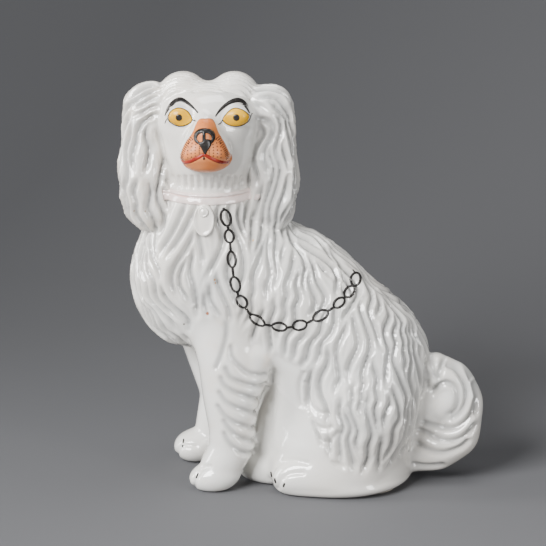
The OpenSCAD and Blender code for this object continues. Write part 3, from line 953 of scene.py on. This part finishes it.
bm = bmesh.new()
NOSTRILS = [(-5.4, 272.6), (-7.5, 274.6), (-7.1, 278.0), (-4.8, 280.4), (-1.4, 281.2), (2.2, 280.4), (4.6, 278.0), (4.8, 274.8), (3.2, 272.9)]
ON_ENAMEL = 0.3
brush(bm, NOSTRILS, 3.0, 0.5, taper=0.3, base=ON_ENAMEL)
brush(bm, [(-1.5, 281), (-1.5, 277), (-1.6, 272)], 2.4, 0.5, taper=0.1, base=ON_ENAMEL)
patch(bm, (-1.4, 270.8), [(-1.4, 274.8), (0.6, 275.6), (3.6, 274.0), (3.4, 270.8), (1.4, 267.8), (-0.9, 264.2), (-2.8, 267.6),
                          (-4.4, 270.6), (-6.0, 272.8), (-3.4, 273.6)], 0.6, spokes=40, rings=6, base=ON_ENAMEL)
patch(bm, (-1.6, 261.8), oval((-1.6, 261.8), 0.75, 1.3), 0.3, spokes=12, rings=3, base=ON_ENAMEL)
for side in (-1, 1):
    for column, (out, top, bottom) in enumerate([(3.8, 270.0, 262.6), (6.3, 273.2, 261.4), (8.6, 274.2, 260.2), (10.7, 274.0, 259.2)]):
        for n in range(7):
            t = n / 6
            x_at = side * (out + (0.5 + 0.5 * column) * math.sin(math.pi * (0.1 + 0.62 * t)) - 0.8) - 1.4
            at = (x_at, top + (bottom - top) * t)
            patch(bm, at, oval(at, 0.46, 0.46, 6), 0.15, spokes=6, rings=2, base=ON_ENAMEL)
    for n in range(13):
        z_at = 275.2 - 1.3 * n
        x_at = side * (8.6 + 7.8 * math.sin((n + 1) / 14 * math.pi / 1.9)) - 1.4
        brush(bm, [(x_at - side * 1.4, z_at - 0.6), (x_at + side * 0.9, z_at + 0.5)], 0.55, 0.15, around=2, steps=5, base=ON_ENAMEL)
enamelled(bm, "nose_and_whiskers", black, ["nose_enamel"])

bm = bmesh.new()
brush(bm, [(-18.6, 255.2), (-14.2, 257.4), (-8.6, 260.6), (-1.6, 264.6)], 2.9, 0.5, taper=0.2, base=ON_ENAMEL)
brush(bm, [(-1.6, 264.6), (5.6, 260.4), (10.6, 257.8), (15.6, 255.8)], 2.7, 0.5, taper=0.25, base=ON_ENAMEL)
brush(bm, [(-18.6, 254.2), (-18.2, 256.4), (-17.0, 257.6)], 1.8, 0.4, taper=0.3, base=ON_ENAMEL)
enamelled(bm, "mouth", red, ["lip_enamel"])

# The chain is twelve painted links, each two bowed strokes, with a short bar between one and the next.
CHAIN = [(-68, 221), (-66, 213.5), (-63.6, 199.5), (-61.8, 182), (-59.2, 163), (-54.4, 150), (-43, 136), (-26.5, 131.5),
         (-11.6, 133.2), (4, 141), (17.6, 151.2), (25.6, 160), (30.2, 169.5), (28.6, 175)]
bm = bmesh.new()
last = CHAIN[0]
for n in range(1, len(CHAIN) - 1):
    mid, way = curved(CHAIN, n / (len(CHAIN) - 1))
    half = 5.4 + 0.7 * math.sin(n * 2.3) - (0.8 if n > 10 else 0)
    across = np.array((-way[1], way[0]))
    brush(bm, [last, (np.array(last) + mid - way * half) / 2, mid - way * half * 0.9], 1.95, 0.3, False, taper=0.25, around=2, base=0.2)
    for side in (-1, 1):
        bow = [mid + way * half * 1.06 * -math.cos(t * math.pi / 6) + across * side * (3.3 + 0.3 * math.sin(n * 1.7)) *
               math.sin(t * math.pi / 6) ** 1.15 for t in range(7)]
        brush(bm, bow, 1.95, 0.3, False, taper=0.3, around=2, steps=30, base=0.22)
    last = tuple(mid + way * half * 0.9)
brush(bm, [last, (29.8, 174.6), (28.2, 177.0)], 1.5, 0.3, False, taper=0.6, around=2)
enamelled(bm, "painted_chain", black, ["chain_enamel"])

bm = bmesh.new()
for a, b in (((-33, 17), (-32.2, 13)), ((-30, 13), (-29.2, 9)), ((-22.5, 10), (-23.5, 6.5))):
    brush(bm, [a, b], 1.5, 0.3, False, around=2, steps=6)
for a, b in (((-87.8, 14.8), (-89.6, 10.2)), ((-101.6, 36.4), (-102, 33)), ((-102.3, 31.6), (-102.6, 29.6))):
    brush(bm, [a, b], 1.4, 0.3, False, around=2, steps=6)
enamelled(bm, "claws", black, ["claw_enamel"])

# ---------------------------------------------------------------- Collar and locket
# A strip of clay luted round the neck with a raised rim, and an oval locket with a round boss.
COLLAR_AT = (-82.5, -3, 226.8)
bm = bmesh.new()
strip = [(-3, -4.2), (0.9, -4.0), (1.9, -3.2), (2.1, -1.4), (1.8, 0.4), (1.35, 1.1), (1.35, 1.5), (2.0, 2.1), (2.1, 3.0),
         (1.3, 3.8), (0.2, 4.1), (-3, 4.2)]
traces = bm.verts.layers.float.new("stain")
made = bmesh.ops.create_grid(bm, x_segments=160, y_segments=len(strip) * 2, size=1)["verts"]
reach = {}
for v in made:
    turn, w = math.pi * (v.co.x + 1), (v.co.y + 1) / 2
    profile, _ = curved(strip, w % 1, True)
    key = round(turn, 4)
    if key not in reach:
        way = Vector((math.cos(turn), math.sin(turn), 0))
        dist = [surface.ray_cast(Vector(COLLAR_AT) / 1000 + Vector((0, 0, dz)), way)[3] or 0.04 for dz in (-0.006, 0, 0.006)]
        reach[key] = [min(d * 1000, 41) for d in dist]
    low, mid_r, high = reach[key]
    r = np.interp(profile[1], (-6, 0, 6), (low, mid_r, high)) + profile[0]
    tilt = 0.05 * r * math.sin(turn)
    v[traces] = 1.0 if abs(profile[1] - 1.3) < 0.45 and profile[0] > 0 else 0.0
    v.co = Vector((COLLAR_AT[0] + r * math.cos(turn), COLLAR_AT[1] + r * math.sin(turn), COLLAR_AT[2] + profile[1] + tilt)) / 1000
bmesh.ops.remove_doubles(bm, verts=made, dist=1e-6)
bmesh.ops.recalc_face_normals(bm, faces=bm.faces[:])
mesh = bpy.data.meshes.new("collar")
bm.to_mesh(mesh)
bm.free()
mesh.polygons.foreach_set("use_smooth", [True] * len(mesh.polygons))
collar = bpy.data.objects.new("collar_strip", mesh)
bpy.context.scene.collection.objects.link(collar)
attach(collar, "root")
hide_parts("collar")
mesh.materials.append(glazed_finish("collar glaze", (0.84, 0.825, 0.79), (0.36, 0.372, 0.385), (0.78, 0.42, 0.36)))

LOCKET = (-2.6, 210.2)
bm = bmesh.new()
spots = [spot(LOCKET[0] + i * 2, LOCKET[1] + j * 3, True)[0] for i in range(-4, 5) for j in range(-4, 5)]
slope = np.linalg.lstsq(np.array([(q.x, q.z, 1) for q in spots]), np.array([q.y for q in spots]), rcond=None)[0]


def sprig(middle, wide, high, rows, spokes=64):
    """A sprigged-on oval: rows of (distance from the middle 0-1, height in mm), on the mean slope of the chest."""
    made = bmesh.ops.create_grid(bm, x_segments=spokes, y_segments=len(rows) - 1, size=1)["verts"]
    for v in made:
        turn, row = math.pi * (v.co.x + 1), rows[round((v.co.y + 1) / 2 * (len(rows) - 1))]
        u, w = wide * row[0] * math.cos(turn) + middle[0], high * row[0] * math.sin(turn) + middle[1]
        px, _, pz = on_head(u, -40, w)
        place = Vector((px / 1000, 0, pz / 1000))
        place.y = slope[0] * place.x + slope[1] * place.z + slope[2]
        v.co = place - Vector((0, row[1] / 1000, 0))
    bmesh.ops.remove_doubles(bm, verts=made, dist=1e-6)


sprig(LOCKET, 7.9, 11.9, [(0, -3), (1, -3), (1, 1.4), (0.985, 2.4), (0.94, 3.0), (0.87, 3.05), (0.8, 2.6), (0.72, 2.2), (0.5, 2.4),
                          (0.25, 2.55), (0, 2.6)])
sprig((-3.0, 216.6), 4.0, 4.0, [(0, 0), (1, 0), (1, 2.4), (0.95, 3.3), (0.84, 3.8), (0.72, 3.7), (0.62, 3.5), (0.4, 4.0), (0.2, 4.3), (0, 4.4)], 36)
bmesh.ops.recalc_face_normals(bm, faces=bm.faces[:])
mesh = bpy.data.meshes.new("locket")
bm.to_mesh(mesh)
bm.free()
mesh.polygons.foreach_set("use_smooth", [True] * len(mesh.polygons))
mesh.materials.append(white_glaze)
locket = bpy.data.objects.new("locket_sprig", mesh)
bpy.context.scene.collection.objects.link(locket)
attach(locket, "root")
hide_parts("locket")

# ---------------------------------------------------------------- Stage and light
# A seamless grey sweep, its colour painted darker as it rises and towards the left as painted shade of the light
# falling off, a big soft light high on the chest side, an upright strip light low on either side and a long soft light
# overhead.
bm = bmesh.new()
bmesh.ops.create_grid(bm, x_segments=1, y_segments=60, size=1)
for v in bm.verts:
    t = (v.co.y + 1) / 2
    run_y = -1.8 + 2.2 * min(t / 0.6, 1)
    rise = max(t - 0.6, 0) / 0.4
    bend_angle = min(rise * 2, 1) * math.pi / 2
    v.co = Vector((v.co.x * 4, run_y + 0.9 * math.sin(bend_angle), 0.9 * (1 - math.cos(bend_angle)) + max(rise - 0.5, 0) * 5))
mesh = bpy.data.meshes.new("sweep")
bm.to_mesh(mesh)
bm.free()
mesh.polygons.foreach_set("use_smooth", [True] * len(mesh.polygons))
sweep = bpy.data.objects.new("sweep", mesh)
bpy.context.scene.collection.objects.link(sweep)
paper = bpy.data.materials.new("grey paper")
paper.use_nodes = True
# The ramp paints shade into the paper: darker towards the back and the left, where less light reaches.
where, axes, shade = [paper.node_tree.nodes.new(kind) for kind in ("ShaderNodeTexCoord", "ShaderNodeSeparateXYZ", "ShaderNodeValToRGB")]
paper.node_tree.links.new(where.outputs["Object"], axes.inputs["Vector"])
across, along = paper.node_tree.nodes.new("ShaderNodeMath"), paper.node_tree.nodes.new("ShaderNodeMath")
across.operation, across.inputs[1].default_value, across.inputs[2].default_value = "MULTIPLY_ADD", -0.8, 0.45
along.operation, along.inputs[1].default_value = "MULTIPLY_ADD", 0.35
paper.node_tree.links.new(axes.outputs["X"], across.inputs[0])
paper.node_tree.links.new(axes.outputs["Y"], along.inputs[0])
paper.node_tree.links.new(across.outputs[0], along.inputs[2])
paper.node_tree.links.new(along.outputs[0], shade.inputs["Fac"])
paper.node_tree.links.new(shade.outputs["Color"], paper.node_tree.nodes["Principled BSDF"].inputs["Base Color"])
shade.color_ramp.elements[0].position, shade.color_ramp.elements[0].color = 0.0, (0.152, 0.153, 0.161, 1)
shade.color_ramp.elements[1].position, shade.color_ramp.elements[1].color = 1.0, (0.054, 0.055, 0.059, 1)
paper.node_tree.nodes["Principled BSDF"].inputs["Roughness"].default_value = 0.9
mesh.materials.append(paper)


def softbox(name, at, wide, high, power, aim=(-0.03, 0, 0.16)):
    light = bpy.data.lights.new(name, "AREA")
    light.shape, light.size, light.size_y, light.energy = "RECTANGLE", wide, high, power
    obj = bpy.data.objects.new(name, light)
    bpy.context.scene.collection.objects.link(obj)
    obj.location = at
    obj.rotation_euler = (Vector(aim) - Vector(at)).to_track_quat("-Z", "Y").to_euler()


softbox("key", (-0.9, -1.25, 1.1), 0.9, 0.8, 71)
softbox("right strip", (1.2, -0.95, 0.35), 0.3, 0.9, 12)
softbox("left strip", (-1.45, -0.25, 0.55), 0.3, 1.1, 17)
softbox("top", (0.0, -0.05, 1.5), 0.9, 0.5, 8)
world = bpy.data.worlds.new("room")
bpy.context.scene.world = world
world.use_nodes = True
world.node_tree.nodes["Background"].inputs["Color"].default_value = (0.5, 0.5, 0.5, 1)
world.node_tree.nodes["Background"].inputs["Strength"].default_value = 0.08
